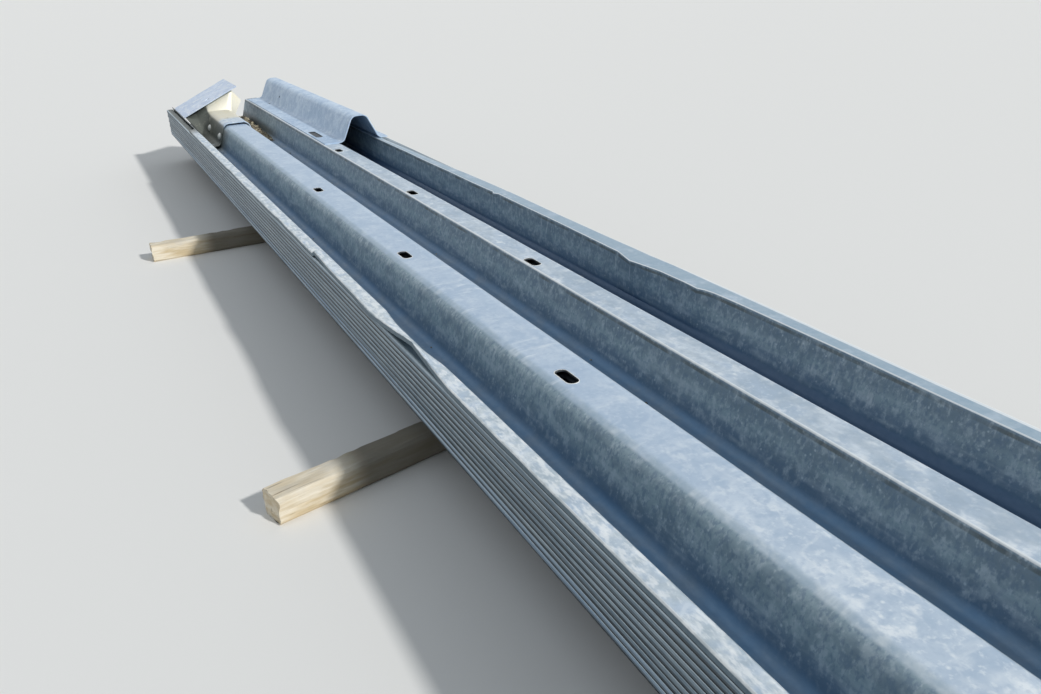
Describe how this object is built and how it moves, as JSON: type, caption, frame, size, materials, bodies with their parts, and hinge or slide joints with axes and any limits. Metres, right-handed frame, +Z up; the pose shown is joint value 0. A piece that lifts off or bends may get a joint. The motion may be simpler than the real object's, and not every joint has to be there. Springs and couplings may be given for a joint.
{
  "type": "highway guardrail section",
  "caption": "Nested stack of galvanised highway guardrail rails with slotted crests, lying on timber bearers, with a short rail offcut on top.",
  "frame": {"origin": "on the ground, below the middle of the pile's bounding box", "axes": "+X across the rails to the right, +Y along the rails away from the near end, +Z up"},
  "size_m": [1.1, 4.334, 0.3335],
  "materials": {
    "galvanised_steel": "dull, cloudy hot-dip galvanised coating",
    "weathered_softwood": "rough sawn, grey and tan weathered softwood"
  },
  "bodies": {
    "root": {"rail_01": "galvanised_steel", "rail_02": "galvanised_steel", "rail_03": "galvanised_steel", "rail_04": "galvanised_steel", "rail_05": "galvanised_steel", "rail_06": "galvanised_steel", "rail_07": "galvanised_steel", "rail_08": "galvanised_steel", "rail_09": "galvanised_steel", "rail_10": "galvanised_steel", "rail_11": "galvanised_steel", "rail_offcut": "galvanised_steel", "end_terminal": "galvanised_steel", "end_plate": "galvanised_steel", "bearer_near": "weathered_softwood", "bearer_far": "weathered_softwood"}
  },
  "joints": []
}
